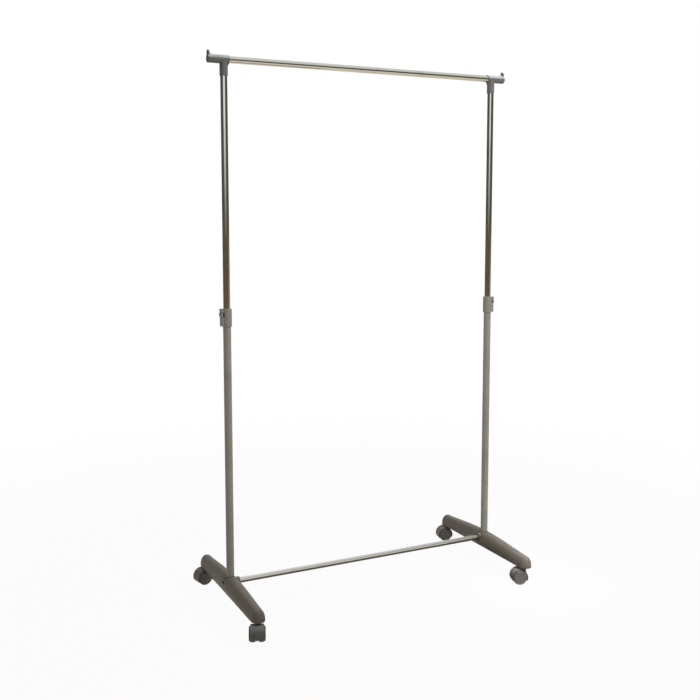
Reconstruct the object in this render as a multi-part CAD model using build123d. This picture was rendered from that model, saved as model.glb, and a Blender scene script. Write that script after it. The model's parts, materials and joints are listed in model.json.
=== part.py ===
from build123d import *
import os
from math import cos, radians

# Rolling clothes rack: two feet on twin-wheel casters, telescopic uprights, one hanging rail.
# Millimetres. +X runs along the rail, the front is -Y and +Z is up. The origin is on the floor,
# midway between the uprights. Pieces of one side are drawn for the right, with +X outward.

# Layout
upright_spacing = 860.0
foot_length = 476.0
lower_tube_length = 770.0
upper_tube_length = 808.0
insertion_at_rest = 120.0

# Clearances, all radial or face to face
seat_clearance = 0.05
turning_clearance = 0.06
sliding_clearance = 0.08
thrust_gap = 0.1

# How far a cut runs past the face it opens
overcut = 1.0

# Tubes
lower_tube_diameter = 22.0
rail_diameter = 19.0
bar_diameter = 16.0
tube_wall = 1.0
telescope_gap = 0.5

# Casters
wheel_diameter = 43.0
wheel_width = 17.0
wheel_disc_inset = 2.2
wheel_disc_height = 4.2
wheel_disc_round = 2.4
wheel_shoulder_round = 2.0
wheel_inner_round = 1.0
wheel_face_recess = 0.6
wheel_rim_width = 3.5
wheel_cap_radius = 4.2
wheel_bore_depth = 13.5
axle_diameter = 6.0
axle_end_play = 0.5
caster_trail = 15.0
web_thickness = 8.0
web_gap = 1.0
web_floor_gap = 2.5
wheel_gap = 1.4
fender_wall = 1.8
wheel_stand_out = 3.8
fender_round = 1.2
fender_drop = 9.0
stem_diameter = 8.0
stem_boss_wall = 3.0
stem_boss_rise = 0.6
stem_pin_diameter = 6.0
stem_pin_length = 12.0
stem_recess = 3.0
stem_chamfer = 0.8
shoulder_radius = 5.5
shoulder_height = 3.2
caster_turn_front_right = 158.0
caster_turn_rear_right = 166.0
caster_turn_rear_left = 190.0
caster_turn_front_left = 248.0

# Caster sockets in the feet
socket_wall = 1.9
socket_length = 30.0
socket_flange_height = 1.6
socket_flange_margin = 2.5
ring_height = 1.2
ring_groove_height = 1.6
ring_groove_depth = 0.65
ring_distance = 19.0

# Feet
caster_end_distance = 24.0
foot_height = 45.0
foot_tip_drop = 13.0
foot_bend = 1.5
foot_tuck = 4.2
crown_rise = 27.0
foot_wall = 2.6
hub_side = 11.8
tip_side = 7.0
crown_flat = 4.0
socket_floor = 5.6
hub_recess = 3.0
hub_wall = 3.0
hub_slit_width = 2.4
caster_boss_wall = 3.5
rib_count = 3
rib_thickness = 2.0
rib_recess = 9.0

# Bottom bar and its bolts
bar_rise = 27.0
bar_boss_wall = 3.0
bar_boss_stand = 3.0
bar_mouth_gap = 1.8
bar_mouth_depth = 3.5
bar_stop_wall = 1.4
plug_length = 16.0
bolt_diameter = 5.0
bolt_head_radius = 4.2
bolt_head_height = 3.0
bolt_head_chamfer = 0.5
bolt_key_size = 3.0
bolt_key_depth = 1.8
bolt_engagement = 12.0
bolt_recess_margin = 0.6
bolt_boss_wall = 3.0

# Height-lock collars
collar_height = 49.5
collar_wall = 2.7
collar_seat = 21.0
collar_edge_round = 1.2
guide_height = 6.0
relief_gap = 0.5
collar_block_depth = 16.8
collar_block_reach = 7.4
collar_block_foot = 1.5
collar_block_height = 24.0
collar_block_round = 2.0
ear_thickness = 3.0
ear_half_height = 4.6
ear_reach = 5.0
ear_top_round = 2.0
ear_bottom_round = 4.0
ear_top_gap = 0.3
lever_side_gap = 0.3
cam_radius = 3.6
cam_offset = 0.6
cam_gap = 0.3
neck_root = 2.5
neck_back = 1.8
neck_brow = 2.0
finger_gap = 0.75
pad_thickness = 5.5
pad_gap = 1.5
pad_swing_gap = 0.6
pad_turned_up = 25.0
slot_half_width = 9.6
pad_round = 1.0
lever_pin_diameter = 3.0
collar_screw_height = 12.0
collar_screw_sink = 1.0

# Self-tapping screws
screw_diameter = 3.2
screw_head_radius = 3.1
screw_head_height = 1.8
screw_head_round = 0.9
screw_slot_length = 3.2
screw_slot_width = 0.9
screw_slot_depth = 0.9
screw_head_margin = 0.2

# Tees at the ends of the rail
tee_sleeve_wall = 1.95
tee_socket_wall = 1.65
tee_web = 2.2
tee_inboard = 14.0
tee_drop = 44.0
tee_mouth_chamfer = 1.0
rail_overhang = 36.0
tee_end_wall = 4.5
lip_thickness = 5.0
lip_width = 13.5
lip_rise = 23.0
lip_round = 1.8
lip_root = 5.0
gusset_leg = 6.0
gusset_width = 9.0
rail_screw_distance = 25.0
socket_screw_height = 14.0
tee_screw_sink = 0.5
tee_screw_reach = 2.0

# Guide bush on the lower end of an upper tube
bush_height = 8.0
bush_spigot = 12.0
bush_wall = 2.4

# Sizes that follow from the ones above
lower_radius = lower_tube_diameter / 2
upper_radius = lower_radius - tube_wall - telescope_gap
rail_radius = rail_diameter / 2
bar_radius = bar_diameter / 2
wheel_radius = wheel_diameter / 2
axle_radius = axle_diameter / 2
stem_radius = stem_diameter / 2
stem_pin_radius = stem_pin_diameter / 2
bolt_radius = bolt_diameter / 2
screw_radius = screw_diameter / 2
pin_radius = lever_pin_diameter / 2

upright_x = upright_spacing / 2
caster_y = foot_length / 2 - caster_end_distance

fender_inner_radius = wheel_radius + wheel_gap
fender_radius = fender_inner_radius + fender_wall
wheel_inner_y = web_thickness / 2 + web_gap
wheel_outer_y = wheel_inner_y + wheel_width
hood_width = 2 * (wheel_outer_y - wheel_stand_out)
boss_top = wheel_radius + fender_radius + stem_boss_rise
shoulder_top = boss_top + shoulder_height
foot_underside = shoulder_top + thrust_gap + socket_flange_height
stem_boss_radius = stem_radius + stem_boss_wall

socket_bore = stem_radius + sliding_clearance
socket_radius = socket_bore + socket_wall
caster_boss_radius = socket_radius + seat_clearance + caster_boss_wall
socket_top = foot_underside - socket_flange_height + socket_length
ring_middle = foot_underside + ring_distance

foot_top = foot_underside + foot_height
hub_half_width = lower_radius + hub_side
tip_half_width = caster_boss_radius + foot_wall + tip_side
nose_y = foot_length / 2 - tip_half_width
hub_bore = lower_radius + seat_clearance
hub_radius = hub_bore + hub_wall
tube_bottom = foot_underside + socket_floor
tube_top = tube_bottom + lower_tube_length

bar_height = foot_underside + bar_rise
bar_stop = hub_bore + bar_stop_wall
bar_boss_radius = bar_radius + seat_clearance + bar_boss_wall
bar_boss_reach = hub_half_width + bar_boss_stand
bolt_seat = hub_radius
bolt_recess_radius = bolt_head_radius + bolt_recess_margin
bolt_tip = -bar_stop - bolt_engagement

collar_bottom = tube_top - collar_seat
collar_radius = lower_radius + seat_clearance + collar_wall
pivot_x = upper_radius + cam_gap + cam_radius + cam_offset
pivot_z = collar_height - ear_top_gap - ear_half_height
ear_bottom = pivot_z - ear_half_height
block_face = lower_radius + collar_block_reach
ear_inner_y = collar_block_depth / 2 - ear_thickness
lever_half_width = ear_inner_y - lever_side_gap
pad_inner = collar_radius + finger_gap
pad_outer = pad_inner + pad_thickness
pad_top = pivot_z - ear_reach / cos(radians(pad_turned_up)) - pad_swing_gap
block_top = collar_block_foot + collar_block_height
pad_bottom = block_top + pad_gap

upper_bottom = tube_top - insertion_at_rest
upper_top = upper_bottom + upper_tube_length
rail_height = upper_top + tee_web + seat_clearance + rail_radius
sleeve_radius = rail_radius + seat_clearance + tee_sleeve_wall
tee_socket_radius = upper_radius + seat_clearance + tee_socket_wall
tee_end = rail_overhang + tee_end_wall + lip_thickness

BASE = (Align.CENTER, Align.CENTER, Align.MIN)


def rod_x(radius, start, end):
    return Pos(start, 0, 0) * Rot(0, 90, 0) * Cylinder(radius, end - start, align=BASE)


def rod_y(radius, start, end):
    return Pos(0, start, 0) * Rot(-90, 0, 0) * Cylinder(radius, end - start, align=BASE)


def rod_z(radius, start, end):
    return Pos(0, 0, start) * Cylinder(radius, end - start, align=BASE)


def block(x_range, y_range, z_range):
    size = [high - low for low, high in (x_range, y_range, z_range)]
    corner = Pos(x_range[0], y_range[0], z_range[0])
    return corner * Box(*size, align=(Align.MIN, Align.MIN, Align.MIN))


def plate_xz(points, y_low, y_high):
    outline = make_face(Polyline(*points, close=True))
    return Pos(0, y_high, 0) * extrude(Plane.XZ * outline, y_high - y_low)


def mirrored(shape):
    return mirror(shape, about=Plane.YZ)


def tapping_screw(seat, tip):
    # A screw along Z that points down: its head stands on seat and its shank ends at tip.
    head = rod_z(screw_head_radius, seat, seat + screw_head_height)
    head = fillet(head.edges().group_by(Axis.Z)[-1], screw_head_round)
    half = screw_slot_length / 2
    head_top = seat + screw_head_height
    slot_z = (head_top - screw_slot_depth, head_top + overcut)
    slot_y = (-screw_slot_width / 2, screw_slot_width / 2)
    cross = block((-half, half), slot_y, slot_z) + block(slot_y, (-half, half), slot_z)
    return head + rod_z(screw_radius, tip, seat) - cross


def screw_cut(seat, tip):
    # The hole for a tapping screw, with the flat seat that its head stands on.
    head_room = rod_z(screw_head_radius + screw_head_margin, seat, seat + screw_head_height + overcut)
    return head_room + rod_z(screw_radius + seat_clearance, tip, seat)


def foot_section(share, inset):
    # Dome on tucked-in sides, across the foot at a share of the way from the hub to the nose.
    bend = abs(share) ** foot_bend
    half_width = hub_half_width + (tip_half_width - hub_half_width) * bend - inset
    sill = half_width - foot_tuck * (1 - bend)
    low = foot_underside - inset
    shoulder = foot_top - foot_tip_drop * bend - crown_rise
    top = shoulder + crown_rise - inset
    flat = crown_flat / 2
    dome = (half_width - flat, crown_rise - inset)
    sides = [
        Line((-sill, low), (sill, low)),
        Line((sill, low), (half_width, shoulder)),
        EllipticalCenterArc((flat, shoulder), *dome, 0, arc_size=90),
        Line((flat, top), (-flat, top)),
        EllipticalCenterArc((-flat, shoulder), *dome, 90, arc_size=90),
        Line((-half_width, shoulder), (-sill, low)),
    ]
    return make_face(sides)


def foot_nose(inset):
    # Half-round end of the foot, turned about the vertical line through the nose centre.
    half = foot_section(1, inset)
    right_half = half & (Pos(foot_length, 0) * Rectangle(2 * foot_length, 4 * foot_length))
    return revolve(Plane.XZ * right_half, Axis.Z, 360)


def foot_form(inset):
    sections = []
    for share in (-1, -0.5, 0, 0.5, 1):
        at = Plane(origin=(0, share * nose_y, 0), x_dir=(1, 0, 0), z_dir=(0, -1, 0))
        sections.append(at * foot_section(share, inset))
    nose = foot_nose(inset)
    return loft(sections) + Pos(0, nose_y, 0) * nose + Pos(0, -nose_y, 0) * nose


def foot():
    outer = foot_form(0)
    hollow = foot_form(foot_wall)
    shell = outer - hollow

    ribs_start = hub_radius
    ribs_end = caster_y - caster_boss_radius
    pitch = (ribs_end - ribs_start) / (rib_count + 1)
    rib_z = (foot_underside + rib_recess, foot_top)
    for side in (-1, 1):
        for index in range(rib_count):
            middle = side * (ribs_start + pitch * (index + 1))
            rib_y = (middle - rib_thickness / 2, middle + rib_thickness / 2)
            shell += block((-hub_half_width, hub_half_width), rib_y, rib_z) & hollow
        boss = rod_z(caster_boss_radius, foot_underside, foot_top)
        shell += Pos(0, side * caster_y, 0) * boss & outer

    hub = rod_z(hub_radius, foot_underside + hub_recess, foot_top) & outer
    bar_boss = Pos(0, 0, bar_height) * rod_x(bar_boss_radius, -bar_boss_reach, -hub_bore)
    bolt_boss = Pos(0, 0, bar_height) * rod_x(bolt_recess_radius + bolt_boss_wall, hub_bore, hub_half_width)
    body = shell + hub + bar_boss + (bolt_boss & outer)

    body -= rod_z(hub_bore, tube_bottom, 2 * foot_top)
    half_slit = hub_slit_width / 2
    body -= block((0, 2 * hub_half_width), (-half_slit, half_slit), (bar_height, 2 * foot_top))
    mouth = rod_x(bar_radius + bar_mouth_gap, -2 * bar_boss_reach, bar_mouth_depth - bar_boss_reach)
    body -= Pos(0, 0, bar_height) * mouth
    body -= Pos(0, 0, bar_height) * rod_x(bar_radius + seat_clearance, -2 * bar_boss_reach, -bar_stop)
    body -= Pos(0, 0, bar_height) * rod_x(bolt_radius + seat_clearance, -bar_boss_reach, hub_half_width)
    body -= Pos(0, 0, bar_height) * rod_x(bolt_recess_radius, bolt_seat, 2 * hub_half_width)
    for side in (-1, 1):
        well = rod_z(socket_radius + seat_clearance, foot_underside - overcut, socket_top + thrust_gap)
        body -= Pos(0, side * caster_y, 0) * well
    return Pos(upright_x, 0, 0) * body


def lower_tube():
    tube = rod_z(lower_radius, tube_bottom, tube_top)
    tube -= rod_z(lower_radius - tube_wall, tube_bottom - overcut, tube_top + overcut)
    bolt_hole = rod_x(bolt_radius + seat_clearance, -lower_tube_diameter, lower_tube_diameter)
    tube -= Pos(0, 0, bar_height) * bolt_hole
    screw_z = collar_bottom + collar_screw_height
    tube -= Pos(0, 0, screw_z) * rod_x(screw_radius + seat_clearance, 0, lower_tube_diameter)
    return Pos(upright_x, 0, 0) * tube


def bottom_bar():
    end = upright_x - bar_stop
    bar = rod_x(bar_radius, -end, end) - rod_x(bar_radius - tube_wall, -2 * end, 2 * end)
    return Pos(0, 0, bar_height) * bar


def bar_end_plug():
    end = upright_x - bar_stop
    plug = rod_x(bar_radius - tube_wall - seat_clearance, end - plug_length, end)
    plug -= rod_x(bolt_radius + seat_clearance, 0, 2 * end)
    return Pos(0, 0, bar_height) * plug


def bar_bolt():
    head = rod_x(bolt_head_radius, bolt_seat, bolt_seat + bolt_head_height)
    head = chamfer(head.edges().group_by(Axis.X)[-1], bolt_head_chamfer)
    key = Plane.YZ * RegularPolygon(bolt_key_size / 2, 6, major_radius=False)
    head -= Pos(bolt_seat + bolt_head_height - bolt_key_depth, 0, 0) * extrude(key, 2 * bolt_key_depth)
    return Pos(upright_x, 0, bar_height) * (head + rod_x(bolt_radius, bolt_tip, bolt_seat))


def caster_socket():
    low = foot_underside - socket_flange_height
    sleeve = rod_z(socket_radius, low, socket_top)
    sleeve += rod_z(socket_radius + socket_flange_margin, low, foot_underside)
    sleeve -= rod_z(socket_bore, 0, 2 * socket_top)
    groove_radius = socket_bore + ring_groove_depth
    half = ring_groove_height / 2
    return sleeve - rod_z(groove_radius, ring_middle - half, ring_middle + half)


def stem_ring():
    outer = socket_bore + ring_groove_depth - turning_clearance
    inner = stem_radius - ring_groove_depth + turning_clearance
    half = ring_height / 2
    ring = rod_z(outer, ring_middle - half, ring_middle + half)
    return ring - rod_z(inner, ring_middle - ring_height, ring_middle + ring_height)


def caster_stem():
    stem = rod_z(stem_radius, boss_top, socket_top - stem_recess)
    stem = chamfer(stem.edges().group_by(Axis.Z)[-1], stem_chamfer)
    stem += rod_z(shoulder_radius, boss_top, shoulder_top)
    stem += rod_z(stem_pin_radius, boss_top - stem_pin_length, boss_top)
    half = ring_groove_height / 2
    groove = rod_z(2 * stem_radius, ring_middle - half, ring_middle + half)
    groove -= rod_z(stem_radius - ring_groove_depth, ring_middle - ring_height, ring_middle + ring_height)
    return stem - groove


def caster_hood():
    # The fender and its middle web, with the wheels trailing along +X from the stem.
    half = hood_width / 2
    barrel = rod_y(fender_radius, -half, half)
    barrel = fillet(barrel.edges().filter_by(GeomType.CIRCLE), fender_round)
    reach = wheel_diameter
    above = block((-reach, reach), (-hood_width, hood_width), (-fender_drop, reach))
    hood = Pos(caster_trail, 0, wheel_radius) * (barrel & above)
    hood += rod_z(stem_boss_radius, wheel_radius, boss_top)
    for side in (-1, 1):
        low, high = sorted((side * web_thickness / 2, side * hood_width))
        hood -= Pos(caster_trail, 0, wheel_radius) * rod_y(fender_inner_radius, low, high)
    web = rod_y(wheel_radius - web_floor_gap, -web_thickness / 2, web_thickness / 2)
    hood += Pos(caster_trail, 0, wheel_radius) * web
    hood -= rod_z(stem_pin_radius + seat_clearance, boss_top - stem_pin_length, 2 * boss_top)
    return hood - Pos(caster_trail, 0, wheel_radius) * rod_y(axle_radius + seat_clearance, -half, half)


def caster_axle():
    reach = wheel_inner_y + wheel_bore_depth - axle_end_play
    return Pos(caster_trail, 0, wheel_radius) * rod_y(axle_radius, -reach, reach)


def caster_wheel(side):
    # A tread that runs under the fender and a smaller disc that stands out of it.
    disc_radius = wheel_radius - wheel_disc_inset
    tread = rod_y(wheel_radius, wheel_inner_y, wheel_outer_y - wheel_disc_height)
    tread = fillet(tread.edges().filter_by(GeomType.CIRCLE).sort_by(Axis.Y)[-1], wheel_shoulder_round)
    tread = fillet(tread.edges().filter_by(GeomType.CIRCLE).sort_by(Axis.Y)[0], wheel_inner_round)
    disc = rod_y(disc_radius, wheel_inner_y + wheel_inner_round, wheel_outer_y)
    disc = fillet(disc.edges().filter_by(GeomType.CIRCLE).sort_by(Axis.Y)[-1], wheel_disc_round)
    wheel = tread + disc
    dish = rod_y(disc_radius - wheel_rim_width, wheel_outer_y - wheel_face_recess, wheel_outer_y + overcut)
    wheel -= dish - rod_y(wheel_cap_radius, wheel_inner_y, wheel_outer_y + overcut)
    bore_end = wheel_inner_y + wheel_bore_depth
    wheel -= rod_y(axle_radius + turning_clearance, wheel_inner_y - overcut, bore_end)
    if side < 0:
        wheel = mirror(wheel, about=Plane.XZ)
    return Pos(caster_trail, 0, wheel_radius) * wheel


def outer_edge(shape, place):
    # An edge along Y of the outermost flat face, the lowest first.
    outer_face = shape.faces().filter_by(Axis.X).sort_by(Axis.X)[-1]
    return outer_face.edges().filter_by(Axis.Y).sort_by(Axis.Z)[place]


def collar():
    # Drawn about the upright's axis, with its lower end at zero height.
    ring = rod_z(collar_radius, 0, collar_height)
    ring = fillet(ring.edges().filter_by(GeomType.CIRCLE), collar_edge_round)
    half_depth = collar_block_depth / 2
    lower_block = block((0, block_face), (-half_depth, half_depth), (collar_block_foot, block_top))
    outer_edges = lower_block.faces().sort_by(Axis.X)[-1].edges()
    lower_block = fillet(outer_edges, collar_block_round)

    ear_z = (ear_bottom, pivot_z + ear_half_height)
    ears = block((0, pivot_x + ear_reach), (-half_depth, half_depth), ear_z)
    ears = fillet(outer_edge(ears, -1), ear_top_round)
    ears = fillet(outer_edge(ears, 0), ear_bottom_round)
    body = ring + lower_block + ears

    body -= block((0, 2 * pad_outer), (-slot_half_width, slot_half_width), (block_top, ear_bottom))
    body -= block((0, 2 * pad_outer), (-ear_inner_y, ear_inner_y), (block_top, 2 * collar_height))
    body -= rod_z(lower_radius + seat_clearance, -overcut, collar_seat)
    body -= rod_z(upper_radius + relief_gap, 0, collar_height - guide_height)
    body -= rod_z(upper_radius + sliding_clearance, 0, 2 * collar_height)
    body -= Pos(pivot_x, 0, pivot_z) * rod_y(pin_radius + seat_clearance, -collar_radius, collar_radius)
    screw = screw_cut(block_face - collar_screw_sink, 0)
    return body - Pos(0, 0, collar_screw_height) * Rot(0, 90, 0) * screw


def lock_lever():
    half_depth = collar_block_depth / 2
    cam = Pos(pivot_x - cam_offset, 0, pivot_z) * rod_y(cam_radius, -lever_half_width, lever_half_width)
    neck_low = pad_top - pad_round - pad_swing_gap
    neck = [
        (pivot_x - neck_back, pivot_z - neck_root),
        (pad_inner, neck_low),
        (pivot_x + ear_reach, neck_low),
        (pivot_x + ear_reach, pivot_z + neck_brow),
        (pivot_x, pivot_z + neck_root),
    ]
    pad = block((pad_inner, pad_outer), (-half_depth, half_depth), (pad_bottom, pad_top))
    pad = fillet(pad.faces().sort_by(Axis.X)[-1].edges(), pad_round)
    lever = cam + plate_xz(neck, -lever_half_width, lever_half_width) + pad
    hole = rod_y(pin_radius + turning_clearance, -collar_block_depth, collar_block_depth)
    return lever - Pos(pivot_x, 0, pivot_z) * hole


def lever_pin():
    half_depth = collar_block_depth / 2
    return Pos(pivot_x, 0, pivot_z) * rod_y(pin_radius, -half_depth, half_depth)


def collar_screw():
    screw = tapping_screw(block_face - collar_screw_sink, lower_radius - tube_wall)
    return Pos(0, 0, collar_screw_height) * Rot(0, 90, 0) * screw


def upper_tube():
    tube = rod_z(upper_radius, upper_bottom, upper_top)
    tube -= rod_z(upper_radius - tube_wall, upper_bottom - overcut, upper_top + overcut)
    screw_z = rail_height - tee_drop + socket_screw_height
    tube -= Pos(0, 0, screw_z) * rod_y(screw_radius + seat_clearance, 0, 2 * upper_radius)
    return Pos(upright_x, 0, 0) * tube


def guide_bush():
    spigot_radius = upper_radius - tube_wall - seat_clearance
    foot_radius = lower_radius - tube_wall - sliding_clearance
    bush = rod_z(foot_radius, upper_bottom - bush_height, upper_bottom)
    bush += rod_z(spigot_radius, upper_bottom, upper_bottom + bush_spigot)
    bush -= rod_z(spigot_radius - bush_wall, upper_bottom - 2 * bush_height, upper_bottom + 2 * bush_spigot)
    return Pos(upright_x, 0, 0) * bush


def hanging_rail():
    end = upright_x + rail_overhang
    rail = rod_x(rail_radius, -end, end) - rod_x(rail_radius - tube_wall, -2 * end, 2 * end)
    for side in (-1, 1):
        screw_x = side * (upright_x + rail_screw_distance)
        rail -= Pos(screw_x, 0, 0) * rod_y(screw_radius + seat_clearance, 0, rail_diameter)
    return Pos(0, 0, rail_height) * rail


def end_lip():
    # End wall of the stub, which turns up into a rounded tab.
    tab_centre = lip_rise - lip_width / 2
    outline = Circle(sleeve_radius) + Pos(0, tab_centre / 2) * Rectangle(lip_width, tab_centre)
    outline += Pos(0, tab_centre) * Circle(lip_width / 2)
    lip = Pos(tee_end - lip_thickness, 0, 0) * extrude(Plane.YZ * outline, lip_thickness)
    return fillet(lip.faces().sort_by(Axis.X)[-1].edges(), lip_round)


def tee():
    # Drawn about the point where the axes of the rail and the upright meet.
    sleeve = rod_x(sleeve_radius, -tee_inboard, tee_end - lip_thickness)
    socket = rod_z(tee_socket_radius, -tee_drop, 0)
    socket = chamfer(socket.edges().group_by(Axis.Z)[0], tee_mouth_chamfer)
    corner_x = -tee_socket_radius
    corner_z = -sleeve_radius
    start = (corner_x - gusset_leg, corner_z)
    end = (corner_x, corner_z - gusset_leg)
    web = make_face([
        RadiusArc(start, end, gusset_leg),
        Line(end, (0, corner_z - gusset_leg)),
        Line((0, corner_z - gusset_leg), (0, 0)),
        Line((0, 0), (start[0], 0)),
        Line((start[0], 0), start),
    ])
    gusset = Pos(0, gusset_width / 2, 0) * extrude(Plane.XZ * web, gusset_width)
    gusset &= block((-tee_inboard, 0), (-gusset_width, gusset_width), (-tee_drop, 0))
    lip_face = tee_end - lip_thickness
    root_x = lip_face - lip_root
    root_z = sleeve_radius + lip_root
    curl = make_face([
        CenterArc((root_x, root_z), lip_root, -90, 90),
        Line((lip_face, root_z), (lip_face, 0)),
        Line((lip_face, 0), (root_x, 0)),
        Line((root_x, 0), (root_x, sleeve_radius)),
    ])
    root = Pos(0, gusset_width / 2, 0) * extrude(Plane.XZ * curl, gusset_width)
    body = sleeve + socket + gusset + root + end_lip()

    body -= rod_x(rail_radius + seat_clearance, -2 * tee_inboard, rail_overhang)
    socket_roof = upper_top - rail_height
    body -= rod_z(upper_radius + seat_clearance, -2 * tee_drop, socket_roof)
    body -= tee_screw_places(screw_cut(sleeve_radius - tee_screw_sink, 0), along_rail=True)
    return body - tee_screw_places(screw_cut(tee_socket_radius - tee_screw_sink, 0), along_rail=False)


def tee_screw_places(screw, along_rail):
    # Turns a screw drawn along Z to the rear and sets it on the sleeve or on the socket.
    turned = Rot(-90, 0, 0) * screw
    if along_rail:
        return Pos(rail_screw_distance, 0, 0) * turned
    return Pos(0, 0, socket_screw_height - tee_drop) * turned


def tee_screws():
    rail_tip = rail_radius - tube_wall - tee_screw_reach
    tube_tip = upper_radius - tube_wall - tee_screw_reach
    rail_screw = tapping_screw(sleeve_radius - tee_screw_sink, rail_tip)
    tube_screw = tapping_screw(tee_socket_radius - tee_screw_sink, tube_tip)
    return [tee_screw_places(rail_screw, True), tee_screw_places(tube_screw, False)]


def save(name, solids):
    shape = solids[0] if len(solids) == 1 else Compound(children=solids)
    export_step(shape, f"parts/{name}.step")


def save_pair(name, right):
    save(f"{name}_right", [right])
    save(f"{name}_left", [mirrored(right)])


os.makedirs("parts", exist_ok=True)

at_collar = Pos(upright_x, 0, collar_bottom)
at_tee = Pos(upright_x, 0, rail_height)

save_pair("foot", foot())
save_pair("lower_tube", lower_tube())
save_pair("collar", at_collar * collar())
save_pair("lock_lever", at_collar * lock_lever())
save_pair("upper_tube", upper_tube())
save_pair("guide_bush", guide_bush())
save_pair("tee", at_tee * tee())
save("hanging_rail", [hanging_rail()])
save("bottom_bar", [bottom_bar()])

right_plug = bar_end_plug()
right_bolt = bar_bolt()
right_pin = at_collar * lever_pin()
right_collar_screw = at_collar * collar_screw()
save("bar_end_plugs", [right_plug, mirrored(right_plug)])
save("bar_bolts", [right_bolt, mirrored(right_bolt)])
save("lever_pins", [right_pin, mirrored(right_pin)])
save("collar_screws", [right_collar_screw, mirrored(right_collar_screw)])
right_tee_screws = [at_tee * screw for screw in tee_screws()]
save("tee_screws", right_tee_screws + [mirrored(screw) for screw in right_tee_screws])

caster_places = {
    "front_right": (upright_x, -caster_y, caster_turn_front_right),
    "rear_right": (upright_x, caster_y, caster_turn_rear_right),
    "rear_left": (-upright_x, caster_y, caster_turn_rear_left),
    "front_left": (-upright_x, -caster_y, caster_turn_front_left),
}
sockets = []
rings = []
for name, (x, y, turn) in caster_places.items():
    place = Pos(x, y, 0)
    turned = place * Rot(0, 0, turn)
    sockets.append(place * caster_socket())
    rings.append(place * stem_ring())
    save(f"caster_hood_{name}", [turned * caster_hood()])
    save(f"caster_stem_{name}", [turned * caster_stem()])
    save(f"caster_axle_{name}", [turned * caster_axle()])
    save(f"wheel_a_{name}", [turned * caster_wheel(-1)])
    save(f"wheel_b_{name}", [turned * caster_wheel(1)])
save("caster_sockets", sockets)
save("stem_rings", rings)

print("rail axis height", round(rail_height, 2), "bar axis height", round(bar_height, 2))
print("foot underside", round(foot_underside, 2), "foot top", round(foot_top, 2))
print("collar from", round(collar_bottom, 2), "to", round(collar_bottom + collar_height, 2))
print("lever pivot", round(pivot_x, 2), round(collar_bottom + pivot_z, 2))
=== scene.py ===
# %% [markdown]
# # A rolling clothes rack
# The rack comes in as finished solids: two hollow plastic feet on twin-wheel casters, painted
# lower tubes, chromed upper tubes that slide in them, a chromed rail between two plastic tees.
# Blender gives it its surfaces, its small moulded details, its light and its camera.

# %% Load the solids
import json
from math import cos, pi, radians, sin, sqrt
import bmesh
import bpy
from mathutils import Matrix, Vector

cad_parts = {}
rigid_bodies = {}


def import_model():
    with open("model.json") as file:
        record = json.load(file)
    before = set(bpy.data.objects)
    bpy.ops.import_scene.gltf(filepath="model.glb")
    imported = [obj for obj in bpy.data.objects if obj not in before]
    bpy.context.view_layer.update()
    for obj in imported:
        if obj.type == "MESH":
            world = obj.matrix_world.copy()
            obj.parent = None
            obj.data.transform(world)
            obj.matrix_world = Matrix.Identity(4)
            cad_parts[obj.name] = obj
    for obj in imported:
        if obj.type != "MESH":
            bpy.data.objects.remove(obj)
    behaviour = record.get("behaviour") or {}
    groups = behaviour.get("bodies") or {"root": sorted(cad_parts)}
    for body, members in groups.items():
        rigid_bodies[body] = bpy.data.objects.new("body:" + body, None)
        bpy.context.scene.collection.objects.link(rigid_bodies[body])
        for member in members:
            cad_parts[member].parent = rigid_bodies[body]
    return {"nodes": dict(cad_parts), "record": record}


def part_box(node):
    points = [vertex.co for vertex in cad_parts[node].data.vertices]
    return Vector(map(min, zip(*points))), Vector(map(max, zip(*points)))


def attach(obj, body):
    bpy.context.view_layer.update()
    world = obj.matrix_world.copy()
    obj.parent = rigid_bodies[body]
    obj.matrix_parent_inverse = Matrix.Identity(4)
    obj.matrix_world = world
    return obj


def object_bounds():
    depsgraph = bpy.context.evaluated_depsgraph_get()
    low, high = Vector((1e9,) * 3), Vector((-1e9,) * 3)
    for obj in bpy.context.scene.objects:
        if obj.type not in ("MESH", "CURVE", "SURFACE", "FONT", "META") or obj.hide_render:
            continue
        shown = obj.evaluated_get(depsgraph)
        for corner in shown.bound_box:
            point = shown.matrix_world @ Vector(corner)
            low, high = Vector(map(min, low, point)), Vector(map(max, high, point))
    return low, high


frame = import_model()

cad_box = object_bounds()

# %% [markdown]
# ## Working with shader nodes
# Every finish below is a small graph of nodes. Wiring them by hand in the editor would do too, but
# code can repeat a graph with other values. `put` adds a node with its settings and wires, where
# i0, i1 and so on stand for inputs that go by number. `eye_colour` turns a colour as the eye reads
# it on a screen into the linear numbers that Blender works with.

# %% Node helpers
def eye_colour(red, green, blue):
    levels = [value / 255 for value in (red, green, blue)]
    linear = [v / 12.92 if v <= 0.04045 else ((v + 0.055) / 1.055) ** 2.4 for v in levels]
    return (*linear, 1.0)


def put(tree, kind, settings=None, **inputs):
    node = tree.nodes.new(kind)
    for name, value in (settings or {}).items():
        setattr(node, name, value)
    for name, value in inputs.items():
        numbered = name[0] == "i" and name[1:].isdigit()
        socket = node.inputs[int(name[1:]) if numbered else name.replace("_", " ")]
        if isinstance(value, bpy.types.NodeSocket):
            tree.links.new(value, socket)
        else:
            socket.default_value = value
    return node


def math_node(tree, operation, first, second=0.0, clamp=False):
    settings = {"operation": operation, "use_clamp": clamp}
    return put(tree, "ShaderNodeMath", settings, i0=first, i1=second).outputs[0]


def mix_colour(tree, share, first, second, blend="MIX"):
    settings = {"data_type": "RGBA", "blend_type": blend}
    return put(tree, "ShaderNodeMix", settings, i0=share, i6=first, i7=second).outputs[2]


print("helpers ready, mid grey reads as", [round(v, 3) for v in eye_colour(128, 128, 128)])

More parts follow.
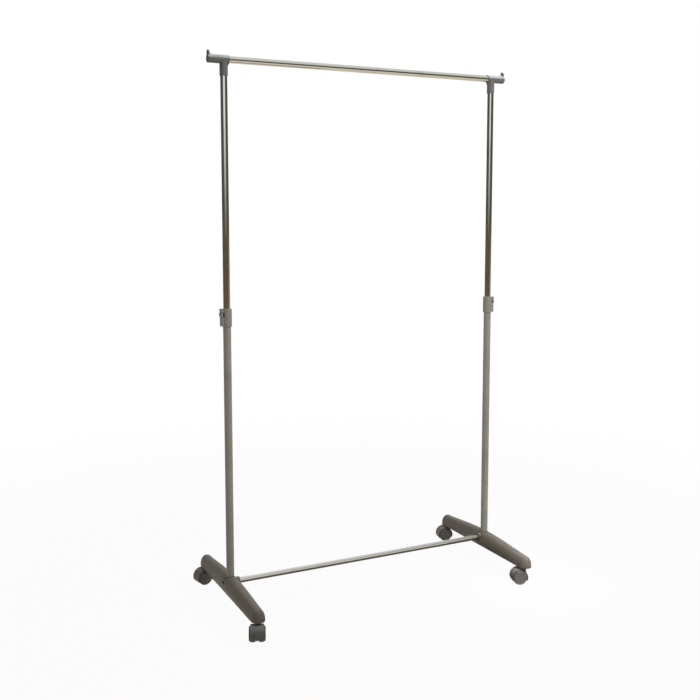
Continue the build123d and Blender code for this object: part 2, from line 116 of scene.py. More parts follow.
# %% [markdown]
# ## Noise as a raw material
# Grain, dust, wear and smears all start as noise that fills space, which the surface cuts through:
# nothing has to be unwrapped, and nothing stretches on a curve. Noise values crowd around one half,
# so `swing` takes the part between 0.3 and 0.7, where most of them lie, to the range that is wanted.
# Effects that several finishes share are built once, as node groups.

# %% Noise and group helpers
noise_low = 0.3
noise_high = 0.7


def own_place(tree):
    return put(tree, "ShaderNodeTexCoord").outputs["Object"]


def noise(tree, place, scale, detail, distortion=0.0):
    inputs = {"Vector": place, "Scale": scale, "Detail": detail, "Distortion": distortion}
    return put(tree, "ShaderNodeTexNoise", **inputs).outputs["Fac"]


def spread(tree, value, low, high, to_low=0.0, to_high=1.0, smooth=False):
    kind = {"interpolation_type": "SMOOTHSTEP"} if smooth else {}
    node = put(tree, "ShaderNodeMapRange", kind, i0=value, i1=low, i2=high, i3=to_low, i4=to_high)
    return node.outputs[0]


def swing(tree, value, to_low=0.0, to_high=1.0):
    return spread(tree, value, noise_low, noise_high, to_low, to_high)


def new_group(name, inputs, outputs):
    group = bpy.data.node_groups.new(name, "ShaderNodeTree")
    kinds = {"value": "NodeSocketFloat", "colour": "NodeSocketColor", "vector": "NodeSocketVector"}
    for label, kind, default in inputs:
        socket = group.interface.new_socket(label, in_out="INPUT", socket_type=kinds[kind])
        socket.default_value = default
    for label, kind in outputs:
        group.interface.new_socket(label, in_out="OUTPUT", socket_type=kinds[kind])
    return group, put(group, "NodeGroupInput").outputs, put(group, "NodeGroupOutput").inputs


def place_group(tree, group, **inputs):
    return put(tree, "ShaderNodeGroup", {"node_tree": group}, **inputs).outputs


print("noise between", noise_low, "and", noise_high, "counts as the full swing")

# %% [markdown]
# ## Moulded grain
# Injection-moulded plastic copies the skin of its steel mould: a fine sparked grain of about half
# a millimetre, over slow drifts of shade where the melt flowed. Two noises do that, a wide one for
# the flow and one as fine as the Grain input says. Both change shade and gloss by a few percent.

# %% Group: moulded grain
moulded_grain, given, made = new_group(
    "moulded_grain",
    [("Colour", "colour", (0.2, 0.2, 0.2, 1)), ("Drift", "value", 0.1), ("Grain", "value", 0.0006),
     ("Roughness", "value", 0.5)],
    [("Colour", "colour"), ("Roughness", "value"), ("Height", "value")],
)
group = moulded_grain
here = own_place(group)
flow = noise(group, here, 14.0, 3.0)
sparks = noise(group, here, math_node(group, "DIVIDE", 1.0, given["Grain"]), 2.0)
shade = math_node(group, "ADD", swing(group, flow, -1.0, 1.0), swing(group, sparks, -0.4, 0.4))
factor = math_node(group, "ADD", math_node(group, "MULTIPLY", shade, given["Drift"]), 1.0)
grey = put(group, "ShaderNodeCombineColor", i0=factor, i1=factor, i2=factor).outputs[0]
group.links.new(mix_colour(group, 1.0, given["Colour"], grey, "MULTIPLY"), made["Colour"])
gloss = math_node(group, "ADD", swing(group, flow, -0.06, 0.06), given["Roughness"])
gloss = math_node(group, "ADD", swing(group, sparks, -0.05, 0.05), gloss, True)
group.links.new(gloss, made["Roughness"])
group.links.new(sparks, made["Height"])
print("group", group.name, "nodes", len(group.nodes))

# %% [markdown]
# ## Worn edges
# Corners of plastic and painted steel rub against walls and hands and turn paler. The Bevel node
# gives the normal that a rounded corner would have, and where it leaves the true normal, there is
# an edge. Noise breaks the line up, so that the wear isn't drawn with a ruler.

# %% Group: edge wear
edge_wear, given, made = new_group(
    "edge_wear",
    [("Width", "value", 0.0012), ("Amount", "value", 0.5)],
    [("Mask", "value")],
)
group = edge_wear
rounded = put(group, "ShaderNodeBevel", {"samples": 6}, Radius=given["Width"]).outputs["Normal"]
flat = put(group, "ShaderNodeNewGeometry").outputs["Normal"]
along = put(group, "ShaderNodeVectorMath", {"operation": "DOT_PRODUCT"}, i0=rounded, i1=flat)
turn = math_node(group, "SUBTRACT", 1.0, along.outputs["Value"])
broken = noise(group, own_place(group), 160.0, 4.0)
on_edge = spread(group, turn, 0.03, 0.2)
rubbed = math_node(group, "MULTIPLY", on_edge, spread(group, broken, 0.38, 0.62))
group.links.new(math_node(group, "MULTIPLY", rubbed, given["Amount"], True), made["Mask"])
print("group", group.name, "nodes", len(group.nodes))

# %% [markdown]
# ## Settled dust and painted highlight
# A rack lives in a bedroom, where dust settles on what faces up. On the tees the same mask, pale and
# bluish, is mostly a painted highlight that lightens their upper halves as light from above would.
# The upward part of the normal says where: nothing below Steepest, all of it from Flattest on. Two
# sizes of noise make the film patchy and a little fluffy.

# %% Group: settled dust and painted highlight
dust_and_painted_highlight, given, made = new_group(
    "dust_and_painted_highlight",
    [("Amount", "value", 0.3), ("Steepest", "value", 0.35), ("Flattest", "value", 1.0)],
    [("Mask", "value")],
)
group = dust_and_painted_highlight
normal = put(group, "ShaderNodeTexCoord").outputs["Normal"]
upward = put(group, "ShaderNodeSeparateXYZ", Vector=normal).outputs["Z"]
up_facing_dust_and_highlight = spread(group, upward, given["Steepest"], given["Flattest"], smooth=True)
here = own_place(group)
patches = spread(group, noise(group, here, 38.0, 5.0), 0.25, 0.75, 0.55, 1.0)
fluff = swing(group, noise(group, here, 1400.0, 1.0), 0.75, 1.0)
film = math_node(group, "MULTIPLY", patches, fluff)
dust_and_highlight_mask = math_node(group, "MULTIPLY", math_node(group, "MULTIPLY", up_facing_dust_and_highlight, film), given["Amount"], True)
group.links.new(dust_and_highlight_mask, made["Mask"])
print("group", group.name, "nodes", len(group.nodes))

# %% [markdown]
# ## Drawn tube skin
# Steel tube is drawn through a die, which leaves faint lines along its length, and hands leave
# soft smears where the rack is gripped. Both change how sharply the tube mirrors the room, so they
# go into its Roughness. Stretch squeezes the noise across the tube and pulls it out along the axis.

# %% Group: drawn tube
drawn_tube, given, made = new_group(
    "drawn_tube",
    [("Stretch", "vector", (1500.0, 1500.0, 9.0)), ("Roughness", "value", 0.1),
     ("Lines", "value", 0.05), ("Smears", "value", 0.1)],
    [("Roughness", "value"), ("Smear", "value")],
)
group = drawn_tube
here = own_place(group)
pulled = put(group, "ShaderNodeVectorMath", {"operation": "MULTIPLY"}, i0=here, i1=given["Stretch"])
lines = swing(group, noise(group, pulled.outputs[0], 1.0, 3.0))
hands = noise(group, here, 11.0, 4.0, 0.6)
smear = spread(group, hands, 0.5, 0.72, smooth=True)
line_part = math_node(group, "MULTIPLY", lines, given["Lines"])
smear_part = math_node(group, "MULTIPLY", smear, given["Smears"])
lined = math_node(group, "ADD", given["Roughness"], line_part)
group.links.new(math_node(group, "ADD", lined, smear_part, True), made["Roughness"])
group.links.new(smear, made["Smear"])
print("group", group.name, "nodes", len(group.nodes))

# %% [markdown]
# ## The plastics
# Feet, hoods and wheels are a warm dark grey, collars and tees a paler one. They differ in shade,
# gloss and wear but share one build, so one function places the three groups with each plastic's
# own values: grain first, then rubbed corners, then dust on top, which on the tees is mostly a
# painted highlight on their upper halves. The grain is a few hundredths of a millimetre deep, which a
# bump shows well enough.

# %% Plastic materials
worn_width = 0.0011
dust_grey = (0.85, 0.85, 0.85, 1)
finishes = {}


def new_material(name):
    material = bpy.data.materials.new(name)
    material.use_nodes = True
    tree = material.node_tree
    return material, tree, tree.nodes["Principled BSDF"]


def raise_surface(tree, shader, height, distance):
    bump = put(tree, "ShaderNodeBump", Height=height, Distance=distance, Filter_Width=1.0)
    tree.links.new(bump.outputs["Normal"], shader.inputs["Normal"])


def plastic(name, colour, roughness, drift, grain, depth, wear, worn, dust_and_highlight_amount, dust_and_highlight_colour,
            steepest=0.35, flattest=1.0):
    finishes[name], tree, shader = new_material(name)
    skin = place_group(tree, moulded_grain, Colour=colour, Drift=drift, Grain=grain,
                       Roughness=roughness)
    rubbed = place_group(tree, edge_wear, Width=worn_width, Amount=wear)["Mask"]
    up_facing_dust_and_highlight = place_group(tree, dust_and_painted_highlight, Amount=dust_and_highlight_amount, Steepest=steepest,
                        Flattest=flattest)["Mask"]
    shade = mix_colour(tree, rubbed, skin["Colour"], worn)
    # Painted highlight: on the tees this dust mask and colour mostly stand for light falling on their
    # tops; on the other plastics it is settled dust.
    tree.links.new(mix_colour(tree, up_facing_dust_and_highlight, shade, dust_and_highlight_colour), shader.inputs["Base Color"])
    dull = mix_colour(tree, up_facing_dust_and_highlight, skin["Roughness"], dust_grey)
    tree.links.new(dull, shader.inputs["Roughness"])
    shader.inputs["Specular IOR Level"].default_value = 0.4
    raise_surface(tree, shader, skin["Height"], depth)


plastic("foot_plastic", eye_colour(99, 93, 85), roughness=0.5,
        drift=0.06, grain=0.0007, depth=0.00005,
        wear=0.3, worn=eye_colour(128, 122, 114),
        dust_and_highlight_amount=0.25, dust_and_highlight_colour=eye_colour(144, 138, 130))
plastic("hood_plastic", eye_colour(92, 90, 86), roughness=0.42,
        drift=0.05, grain=0.0006, depth=0.00003,
        wear=0.35, worn=eye_colour(132, 129, 122),
        dust_and_highlight_amount=0.45, dust_and_highlight_colour=eye_colour(168, 165, 158), steepest=0.45)
plastic("wheel_plastic", eye_colour(104, 101, 96), roughness=0.5,
        drift=0.06, grain=0.0005, depth=0.00003,
        wear=0.4, worn=eye_colour(126, 122, 115),
        dust_and_highlight_amount=0.2, dust_and_highlight_colour=eye_colour(140, 136, 130))
plastic("collar_plastic", eye_colour(146, 141, 133), roughness=0.4,
        drift=0.04, grain=0.0005, depth=0.00002,
        wear=0.3, worn=eye_colour(184, 180, 172),
        dust_and_highlight_amount=0.4, dust_and_highlight_colour=eye_colour(198, 195, 188))
# Painted highlight: the tees' pale bluish dust layer starts almost at their sides, so it lightens
# their whole upper half as light from above would.
plastic("tee_plastic", eye_colour(112, 111, 110), roughness=0.36,
        drift=0.04, grain=0.0005, depth=0.00002,
        wear=0.25, worn=eye_colour(160, 158, 158),
        dust_and_highlight_amount=0.68, dust_and_highlight_colour=eye_colour(220, 222, 228), steepest=0.02, flattest=0.42)
plastic("bush_plastic", eye_colour(58, 56, 54), roughness=0.45,
        drift=0.05, grain=0.0005, depth=0.00002,
        wear=0.3, worn=eye_colour(96, 93, 89),
        dust_and_highlight_amount=0.1, dust_and_highlight_colour=eye_colour(120, 117, 112))
print("plastics", sorted(finishes))

# %% [markdown]
# ## Painted steel
# The lower tubes wear an olive-grey baked paint. Sprayed paint dries with a shallow ripple, called
# orange peel, two or three millimetres across. Noise makes it well as a bump, because the ripple is
# only hundredths of a millimetre deep.

# %% Painted tube material
finishes["painted_tube"], tree, shader = new_material("painted_tube")
here = own_place(tree)
runs = swing(tree, noise(tree, here, 7.0, 3.0))
coat = mix_colour(tree, runs, eye_colour(146, 142, 130), eye_colour(156, 152, 142))
chipped = place_group(tree, edge_wear, Width=0.0008, Amount=0.6)["Mask"]
coat = mix_colour(tree, chipped, coat, eye_colour(172, 170, 164))
skin = place_group(tree, drawn_tube, Stretch=(500.0, 500.0, 6.0), Roughness=0.36, Lines=0.05,
                   Smears=0.12)
handled = math_node(tree, "MULTIPLY", skin["Smear"], 0.25)
coat = mix_colour(tree, handled, coat, eye_colour(124, 121, 110))
tree.links.new(coat, shader.inputs["Base Color"])
tree.links.new(skin["Roughness"], shader.inputs["Roughness"])
peel = noise(tree, here, 420.0, 1.5)
peel_depth = 0.00006
raise_surface(tree, shader, peel, peel_depth)
print("painted tube nodes", len(tree.nodes))

# %% [markdown]
# ## Chrome and zinc
# Chrome is a mirror on steel: full Metallic, a pale colour and very low Roughness, so nearly all of
# its look comes from what stands around it. Upright tubes and lying tubes need the drawn lines in
# different directions, so they are two materials from one function. Screws, bolts and axles have a
# duller zinc plate with a faint crystal pattern, which Voronoi cells give.

# %% Chrome and zinc materials
lines_across = 1500.0
lines_along = 9.0


def chrome(name, stretch):
    material, tree, shader = new_material(name)
    skin = place_group(tree, drawn_tube, Stretch=stretch, Roughness=0.05, Lines=0.03, Smears=0.06)
    clean = eye_colour(226, 226, 224)
    hazed = eye_colour(206, 204, 198)
    tree.links.new(mix_colour(tree, skin["Smear"], clean, hazed), shader.inputs["Base Color"])
    tree.links.new(skin["Roughness"], shader.inputs["Roughness"])
    shader.inputs["Metallic"].default_value = 1.0
    return material


upright_chrome = chrome("chrome_upright", (lines_across, lines_across, lines_along))
lying_chrome = chrome("chrome_lying", (lines_along, lines_across, lines_across))

finishes["zinc_steel"], tree, shader = new_material("zinc_steel")
crystals = put(tree, "ShaderNodeTexVoronoi", Vector=own_place(tree), Scale=900.0).outputs
shade = spread(tree, crystals["Color"], 0.0, 1.0)
plate = mix_colour(tree, shade, eye_colour(150, 150, 148), eye_colour(196, 196, 192))
tree.links.new(plate, shader.inputs["Base Color"])
tree.links.new(spread(tree, shade, 0.0, 1.0, 0.28, 0.48), shader.inputs["Roughness"])
shader.inputs["Metallic"].default_value = 1.0
crystal_depth = 0.00001
raise_surface(tree, shader, crystals["Distance"], crystal_depth)
print("chrome", upright_chrome.name, lying_chrome.name, "zinc nodes", len(tree.nodes))

# %% [markdown]
# ## Dressing the solids
# The record of the rack names a material slot for every solid, so each one gets the finish of its
# slot. Chrome is the one slot with two materials, chosen by whether the tube stands or lies.

# %% Give each solid its finish
slot_of = {part["node"]: part["material_slot"] for part in frame["record"]["subparts"]}
for name, solid in frame["nodes"].items():
    slot = slot_of[name]
    if slot == "chrome_tube":
        finish = upright_chrome if name.startswith("upper_tube") else lying_chrome
    else:
        finish = finishes[slot]
    solid.data.materials.clear()
    solid.data.materials.append(finish)
print("dressed", len(frame["nodes"]), "solids")

# %% [markdown]
# ## Painted shadow rings at the foot of the uprights
# Each tube goes down into the crown of its foot, and a thin dark ring around the joint is a painted
# shadow for the gap there. It follows a saddle: high in the middle of the crown, dropping at both
# sides. A curve through points on that saddle, with a round bevel, is quicker than a swept mesh and
# exact.

# %% Painted shadow rings at the uprights
scene = bpy.context.scene
scene_objects = scene.collection.objects
tube_low, tube_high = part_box("lower_tube_right")
tube_radius = (tube_high[0] - tube_low[0]) / 2
upright_x = (tube_high[0] + tube_low[0]) / 2
foot_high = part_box("foot_right")[1]
half_flat = 0.002
crown_rise = 0.027
crown_reach = foot_high[0] - upright_x - half_flat
shadow_ring_radius = 0.0006
shadow_ring_gap = 0.0004
shadow_ring_lift = 0.0001
shadow_ring_points = 72


def bead(name, chains, closed, radius, slot, body):
    curve = bpy.data.curves.new(name, "CURVE")
    curve.dimensions = "3D"
    curve.bevel_depth = radius
    curve.bevel_resolution = 3
    for chain in chains:
        line = curve.splines.new("POLY")
        line.points.add(len(chain) - 1)
        for point, place in zip(line.points, chain):
            point.co = (*place, 1.0)
        line.use_cyclic_u = closed
    piece = bpy.data.objects.new(name, curve)
    scene_objects.link(piece)
    curve.materials.append(finishes[slot])
    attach(piece, body)
    return piece


def crown_height(across):
    past_flat = max(abs(across) - half_flat, 0.0) / crown_reach
    return foot_high[2] - crown_rise * (1 - sqrt(1 - past_flat ** 2))


def upright_shadow_ring(side):
    centre = upright_x if side == "right" else -upright_x
    ring = []
    for index in range(shadow_ring_points):
        angle = 2 * pi * index / shadow_ring_points
        across = (tube_radius + shadow_ring_gap) * cos(angle)
        deep = (tube_radius + shadow_ring_gap) * sin(angle)
        ring.append((centre + across, deep, crown_height(across) + shadow_ring_lift))
    # Painted shadow: the dark ring stands for the shade in the gap where the tube enters the foot.
    return bead(f"upright_shadow_ring_{side}", [ring], True, shadow_ring_radius, "bush_plastic", "base")


sides = ("left", "right")
shadow_rings = [upright_shadow_ring(side) for side in sides]
print("shadow_rings", [shadow_ring.name for shadow_ring in shadow_rings], "tube radius", round(tube_radius, 4))

# %% [markdown]
# ## Grip ribs on the levers
# A thumb needs purchase on the lock lever, so its face carries three raised ribs. Each is a short
# bar with rounded ends, a capsule that is sunk a little into the face. One mesh holds the three
# ribs of a lever, and it rides on the lever, so that it flips with it.

# %% Lever grips
rib_count = 3
rib_radius = 0.00055
rib_sink = 0.00025
rib_half_length = 0.0052
rib_start = 0.0028
rib_pitch = 0.0027


def capsule(mesh, start, end, radius):
    aim = (end - start).normalized()
    ball = bmesh.ops.create_uvsphere(mesh, u_segments=16, v_segments=10, radius=radius)["verts"]
    turn = Vector((0, 0, 1)).rotation_difference(aim).to_matrix()
    for vertex in ball:
        stretched = end if vertex.co.z > 0 else start
        vertex.co = turn @ vertex.co + stretched


def mesh_piece(name, mesh, material, body):
    data = bpy.data.meshes.new(name)
    mesh.to_mesh(data)
    mesh.free()
    data.shade_smooth()
    piece = bpy.data.objects.new(name, data)
    scene_objects.link(piece)
    data.materials.append(material)
    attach(piece, body)
    return piece


def lever_grip(side):
    lever = f"lock_lever_{side}"
    low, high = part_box(lever)
    rib_x = high[0] - rib_sink if side == "right" else low[0] + rib_sink
    ribs = bmesh.new()
    for index in range(rib_count):
        height = low[2] + rib_start + rib_pitch * index
        ends = [Vector((rib_x, across, height)) for across in (-rib_half_length, rib_half_length)]
        capsule(ribs, *ends, rib_radius)
    return mesh_piece(f"lever_grip_{side}", ribs, finishes["collar_plastic"], lever)


grips = [lever_grip(side) for side in sides]
print("grips", [(grip.name, len(grip.data.vertices)) for grip in grips])

# %% [markdown]
# ## Gate marks on the hoods
# Where the plastic ran into the mould of a caster hood, a small round dimple is left, with a raised
# rim. It sits on the curved back of the fender and is coloured with the darker bush plastic, a
# painted shade for the hollow. The mark is turned on a lathe in code: a profile of radius and height
# goes round the outward direction at its place.

# %% Hood marks with painted shade
mark_lift = radians(14)
mark_offset = 0.0075
mark_steps = 28
mark_profile = [(0.0027, -0.0004), (0.0026, 0.0002), (0.0023, 0.0003), (0.0020, 0.0001),
                (0.0006, -0.0003)]


def lathe(mesh, centre, outward, profile, steps):
    side = outward.orthogonal().normalized()
    other = outward.cross(side)
    rings = []
    for radius, height in profile:
        ring = []
        for index in range(steps):
            angle = 2 * pi * index / steps
            away = (side * cos(angle) + other * sin(angle)) * radius
            ring.append(mesh.verts.new(centre + away + outward * height))
        rings.append(ring)
    for lower, upper in zip(rings, rings[1:]):
        for index in range(steps):
            following = (index + 1) % steps
            mesh.faces.new((lower[index], lower[following], upper[following], upper[index]))
    mesh.faces.new(rings[-1])


def middle(node):
    low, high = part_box(node)
    return (Vector(low) + Vector(high)) / 2


def shaded_hood_mark(corner):
    hood = frame["nodes"][f"caster_hood_{corner}"]
    wheel_a = middle(f"wheel_a_{corner}")
    wheel_b = middle(f"wheel_b_{corner}")
    stem = middle(f"caster_stem_{corner}")
    axle = (wheel_a + wheel_b) / 2
    trail = Vector((axle.x - stem.x, axle.y - stem.y, 0)).normalized()
    across = (wheel_b - wheel_a).normalized()
    outward = (trail * cos(mark_lift) + Vector((0, 0, 1)) * sin(mark_lift)).normalized()
    reach = max((vertex.co - axle).dot(outward) for vertex in hood.data.vertices)
    shaded_mark = bmesh.new()
    lathe(shaded_mark, axle + outward * reach - across * mark_offset, outward, mark_profile, mark_steps)
    body = f"caster_{corner}"
    # Painted shade: the mark takes the darker bush plastic to stand for the shade in its dimple.
    return mesh_piece(f"shaded_hood_mark_{corner}", shaded_mark, finishes["bush_plastic"], body)


corners = ("front_left", "front_right", "rear_left", "rear_right")
shaded_hood_marks = [shaded_hood_mark(corner) for corner in corners]
print("hood marks", [shaded_mark.name for shaded_mark in shaded_hood_marks])

# %% [markdown]
# ## Parting lines
# Two halves of a mould never close perfectly, so a moulded piece carries a hair-thin ridge where
# they met. Cutting a copy of the solid with that plane gives the exact path. Edges of the cut that
# face away from the piece's own axis are on the outside, and only those get the ridge. On the very
# top of the lips it sinks in, so that the rack grows no taller.

# %% Mould ridges
ridge_radius = 0.00012
ridge_top = cad_box[1][2] - ridge_radius
seam_y = 0.0002
weld_distance = 1e-6
facing_out = 0.4
rail_z = sum(corner[2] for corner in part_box("hanging_rail")) / 2


def outside_cut(solid, point, across, middle_of):
    mesh = bmesh.new()
    mesh.from_mesh(solid.data)
    bmesh.ops.remove_doubles(mesh, verts=mesh.verts, dist=weld_distance)
    mesh.normal_update()
    everything = mesh.verts[:] + mesh.edges[:] + mesh.faces[:]
    cut = bmesh.ops.bisect_plane(mesh, geom=everything, plane_co=point, plane_no=across)["geom_cut"]
    links = {}
    for edge in cut:
        if not isinstance(edge, bmesh.types.BMEdge) or not edge.link_faces:
            continue
        halfway = (edge.verts[0].co + edge.verts[1].co) / 2
        away = halfway - middle_of(halfway)
        if edge.link_faces[0].normal.dot(away) > facing_out * away.length:
            for vertex, other in (edge.verts, reversed(edge.verts)):
                links.setdefault(vertex, []).append(other)
    chains = chained(links)
    mesh.free()
    return chains


def chained(links):
    chains = []
    while links:
        start = next((vertex for vertex in links if len(links[vertex]) == 1), next(iter(links)))
        chain = [start]
        while links.get(chain[-1]):
            following = links[chain[-1]].pop()
            links[following].remove(chain[-1])
            chain.append(following)
        links = {vertex: others for vertex, others in links.items() if others}
        chains.append([tuple(vertex.co) for vertex in chain])
    return chains


def upright_axis(at_x):
    return lambda place: Vector((at_x, 0, place.z))


def tee_axis(at_x):
    def nearest(place):
        on_rail = Vector((place.x, 0, rail_z))
        on_upright = Vector((at_x, 0, min(place.z, rail_z)))
        return min((on_rail, on_upright), key=lambda axis: (place - axis).length)
    return nearest


def ridge(node, body, slot, at_x, axis):
    seam = Vector((at_x, seam_y, 0))
    chains = outside_cut(frame["nodes"][node], seam, Vector((0, 1, 0)), axis(at_x))
    sunk = [[(x, y, min(z, ridge_top)) for x, y, z in chain] for chain in chains]
    return bead(f"mould_ridge_{node}", sunk, False, ridge_radius, slot, body)


ridges = []
for side, at_x in zip(sides, (-upright_x, upright_x)):
    ridges.append(ridge(f"tee_{side}", "hanging_frame", "tee_plastic", at_x, tee_axis))
    ridges.append(ridge(f"collar_{side}", "base", "collar_plastic", at_x, upright_axis))
print("ridges", [(piece.name, len(piece.data.splines)) for piece in ridges])

# %% [markdown]
# ## The floor
# The rack stands on a pale floor that fades into a white background. A grey floor would show where
# it ends, and no floor would leave the rack hanging in the air. So the floor mixes a little true
# paint, which takes the soft shadow, with a white glow that only the camera and mirrors see, and it
# turns clear further out.

# %% Floor
floor_glow = 0.95
fade_start = 0.9
fade_end = 2.6
floor_reach = 2.7
floor_drop = 0.0004


def sheet_mesh(name, corners):
    mesh = bpy.data.meshes.new(name)
    mesh.from_pydata(corners, [], [list(range(len(corners)))])
    return mesh


def flat_corners(left, right, front, rear, height):
    return [(left, front, height), (right, front, height), (right, rear, height), (left, rear, height)]


def stage_object(name, mesh, material):
    thing = bpy.data.objects.new(name, mesh)
    scene_objects.link(thing)
    mesh.materials.append(material)
    return thing


def seen_directly(tree):
    path = put(tree, "ShaderNodeLightPath").outputs
    seen = math_node(tree, "ADD", path["Is Camera Ray"], path["Is Glossy Ray"])
    return math_node(tree, "ADD", seen, path["Is Transmission Ray"], True)


floor_paint, tree, shader = new_material("pale_floor")
shader.inputs["Base Color"].default_value = (0.45, 0.45, 0.44, 1)
shader.inputs["Roughness"].default_value = 0.9
shader.inputs["Specular IOR Level"].default_value = 0.0
glow = put(tree, "ShaderNodeEmission", Color=(1, 1, 1, 1), Strength=1.0)
share = math_node(tree, "MULTIPLY", seen_directly(tree), floor_glow)
pale = put(tree, "ShaderNodeMixShader", i0=share, i1=shader.outputs[0], i2=glow.outputs[0])
far_out = put(tree, "ShaderNodeVectorMath", {"operation": "LENGTH"}, i0=own_place(tree))
fade = spread(tree, far_out.outputs["Value"], fade_start, fade_end, smooth=True)
clear = put(tree, "ShaderNodeBsdfTransparent")
both = put(tree, "ShaderNodeMixShader", i0=fade, i1=pale.outputs[0], i2=clear.outputs[0])
tree.links.new(both.outputs[0], tree.nodes["Material Output"].inputs["Surface"])
floor_paint.cycles.emission_sampling = "NONE"
floor_corners = flat_corners(-floor_reach, floor_reach, -floor_reach, floor_reach, -floor_drop)
floor = stage_object("studio_floor", sheet_mesh("studio_floor", floor_corners), floor_paint)
print(floor.name, 2 * floor_reach, "m square")

# %% [markdown]
# ## The white background
# The background is pure white where it is seen, directly or in a mirror, but a white sky all round
# would wash out every shadow. The light path tells the two uses apart: rays that light the rack
# meet a much dimmer, slightly warm sky.

# %% World
world = bpy.data.worlds.new("white_studio")
scene.world = world
world.use_nodes = True
tree = world.node_tree
tree.nodes.clear()
ambient = put(tree, "ShaderNodeBackground", Color=(1.0, 0.99, 0.97, 1), Strength=0.31)
white = put(tree, "ShaderNodeBackground", Color=(1, 1, 1, 1), Strength=1.0)
both = put(tree, "ShaderNodeMixShader", i0=seen_directly(tree), i1=ambient.outputs[0],
           i2=white.outputs[0])
put(tree, "ShaderNodeOutputWorld", Surface=both.outputs[0])
print("world", world.name)

# %% [markdown]
# ## Studio lights
# A wide panel overhead and one in front, on the right, do most of the work and leave the left sides
# of tubes and feet a little darker. Two weak panels with a narrow spread lift what would sink too
# far: one from the left, toward the right upright, and one above the front end of the right foot.
# All are kept out of mirrors, because square lamps on round tubes would look like a studio.

# %% Lights
def softbox(name, place, target, size, power, spread_angle=180):
    lamp = bpy.data.lights.new(name, "AREA")
    lamp.shape = "SQUARE"
    lamp.size = size
    lamp.energy = power
    lamp.spread = radians(spread_angle)
    thing = bpy.data.objects.new(name, lamp)
    scene_objects.link(thing)
    thing.location = place
    aim = Vector(target) - Vector(place)
    thing.rotation_euler = aim.to_track_quat("-Z", "Y").to_euler()
    thing.visible_glossy = False
    thing.visible_camera = False
    return thing


lights = [
    softbox("overhead_panel", (0.7, 0.0, 3.2), (0, 0, 0), size=2.4, power=50),
    softbox("right_panel", (1.6, -1.5, 2.2), (0, 0, 0.8), size=1.1, power=26),
    softbox("left_panel", (-0.9, -2.3, 1.4), (0.55, 0, 1.0), size=0.6, power=2.6, spread_angle=60),
    softbox("low_panel", (0.56, -0.75, 1.2), (0.46, -0.24, 0.06), size=0.3, power=0.46,
            spread_angle=24),
]
print("lights", [thing.name for thing in lights])

# %% [markdown]
# ## A room for the chrome
# Chrome has no colour of its own: it shows the room. The upright tubes mirror a pale window between
# dark walls above eye level, and brown furniture below it. Rail and bar mirror a light ceiling and
# upper wall, the dark walls in the middle, a low pale screen in front and the floor with a dark mat.
# Curved strips on a circle around the rack and a few flat sheets give all of that. Only mirror-like
# rays see them, so they add no light and no shade. Their angles start at the camera's direction.

# %% Mirror room
camera_yaw = radians(26.204)
toward_camera = Vector((-sin(camera_yaw), -cos(camera_yaw)))
to_the_right = Vector((cos(camera_yaw), -sin(camera_yaw)))
room_radius = 2.6
cupboard_radius = 2.55
wall_steps = 24
wall_low = 0.5
wall_high = 2.3
ceiling_height = 3.4
window_left = -24
window_right = 31
cupboard_start = 72
wall_end = 165


def glowing(name, low_colour, high_colour=None, low=0.0, high=1.0):
    material = bpy.data.materials.new(name)
    material.use_nodes = True
    tree = material.node_tree
    tree.nodes.clear()
    place = put(tree, "ShaderNodeNewGeometry").outputs["Position"]
    height = put(tree, "ShaderNodeSeparateXYZ", Vector=place).outputs["Z"]
    share = spread(tree, height, low, high)
    shade = mix_colour(tree, share, low_colour, high_colour or low_colour)
    glow = put(tree, "ShaderNodeEmission", Color=shade, Strength=1.0)
    put(tree, "ShaderNodeOutputMaterial", Surface=glow.outputs[0])
    material.cycles.emission_sampling = "NONE"
    return material


def only_in_mirrors(name, mesh, material):
    thing = stage_object(name, mesh, material)
    for ray in ("camera", "diffuse", "transmission", "volume_scatter", "shadow"):
        setattr(thing, f"visible_{ray}", False)
    return thing


def mirror_wall(name, start, end, low, high, material, distance=room_radius):
    points = []
    faces = []
    for index in range(wall_steps + 1):
        angle = radians(start + (end - start) * index / wall_steps)
        flat = (toward_camera * cos(angle) + to_the_right * sin(angle)) * distance
        points += [(flat.x, flat.y, low), (flat.x, flat.y, high)]
        if index < wall_steps:
            faces.append((2 * index, 2 * index + 1, 2 * index + 3, 2 * index + 2))
    mesh = bpy.data.meshes.new(name)
    mesh.from_pydata(points, [], faces)
    return only_in_mirrors(name, mesh, material)


def mirror_sheet(name, left, right, front, rear, height, material):
    mesh = sheet_mesh(name, flat_corners(left, right, front, rear, height))
    return only_in_mirrors(name, mesh, material)


print("room of", room_radius, "m around the rack, up to", ceiling_height, "m")

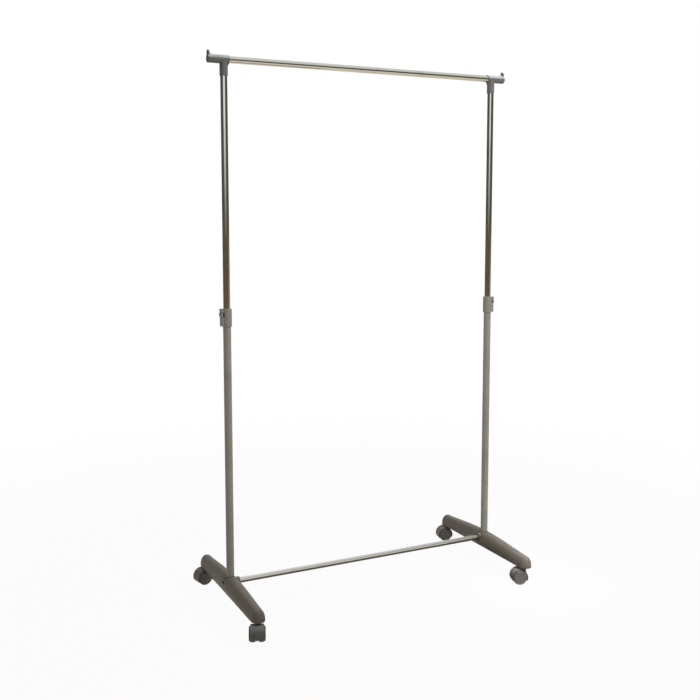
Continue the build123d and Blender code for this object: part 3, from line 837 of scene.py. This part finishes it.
# %% Walls, ceiling and floor for mirrors
brown = eye_colour(101, 86, 64)
dark_green = eye_colour(82, 86, 73)
daylight = eye_colour(236, 243, 240)
dark_wall = glowing("dark_wall", brown, dark_green, 0.97, 1.19)
window_wall = glowing("window_wall", brown, daylight, 0.97, 1.63)
pale_wall = glowing("pale_wall", eye_colour(180, 178, 172), eye_colour(216, 215, 210),
                    wall_high, ceiling_height)
ceiling_paint = glowing("ceiling_paint", eye_colour(222, 221, 217))
cream_floor = glowing("cream_floor", eye_colour(219, 210, 192))
dark_mat = glowing("dark_mat", eye_colour(92, 88, 80))
cupboard_wood = glowing("cupboard", eye_colour(156, 142, 120), eye_colour(120, 108, 90), 0.6, 1.0)
pale_screen = glowing("pale_screen", eye_colour(224, 220, 210), eye_colour(196, 193, 186), 0.1, 0.55)
screen_corners = [(-0.6, -0.6, 0.08), (0.9, -0.6, 0.08), (0.9, -0.6, 0.55), (-0.6, -0.6, 0.55)]
room = [
    mirror_wall("wall_right", window_right, wall_end, wall_low, wall_high, dark_wall),
    mirror_wall("wall_left", window_left, -wall_end, wall_low, wall_high, dark_wall),
    mirror_wall("window", window_left, window_right, wall_low, wall_high, window_wall),
    mirror_wall("wall_top", -wall_end, wall_end, wall_high, ceiling_height, pale_wall),
    mirror_sheet("ceiling", -2.7, 2.7, -2.7, 2.7, ceiling_height, ceiling_paint),
    mirror_sheet("floor_in_mirrors", -4.0, 4.0, -4.0, 4.0, 0.0002, cream_floor),
    mirror_sheet("mat_in_mirrors", -0.40, 0.55, -0.40, 0.10, 0.0006, dark_mat),
    mirror_wall("cupboard", cupboard_start, wall_end, wall_low, 1.0, cupboard_wood, cupboard_radius),
    only_in_mirrors("low_screen", sheet_mesh("low_screen", screen_corners), pale_screen),
]
print("mirror room", [thing.name for thing in room])

# %% [markdown]
# ## The camera
# The rack was seen from a little left of its middle, from chest height, with the lens almost level.
# The picture is cut off centre, which a lens shift repeats without bending the upright lines. Lens
# and shift were measured in pixels of the picture, and Blender wants them by the sensor's width.

# %% Camera
picture_pixels = 700
focal_pixels = 941.0
shift_pixels = -41.4
camera_pitch = radians(90 - 5.838)
lens = bpy.data.cameras.new("rack_camera")
lens.sensor_width = 36.0
lens.lens = focal_pixels * lens.sensor_width / picture_pixels
lens.shift_y = shift_pixels / picture_pixels
camera = bpy.data.objects.new("rack_camera", lens)
scene_objects.link(camera)
camera.location = (-1.2625, -2.4583, 1.1193)
camera.rotation_euler = (camera_pitch, 0.0, -camera_yaw)
scene.camera = camera
scene.view_settings.view_transform = "Standard"
print("lens", round(lens.lens, 2), "shift", round(lens.shift_y, 4))

# %% [markdown]
# ## Sizes
# Dressing must not change how big the rack is. The box of the solids is taken before dressing, as
# cad_box; this block only updates the scene.

# %% Update the scene
bpy.context.view_layer.update()
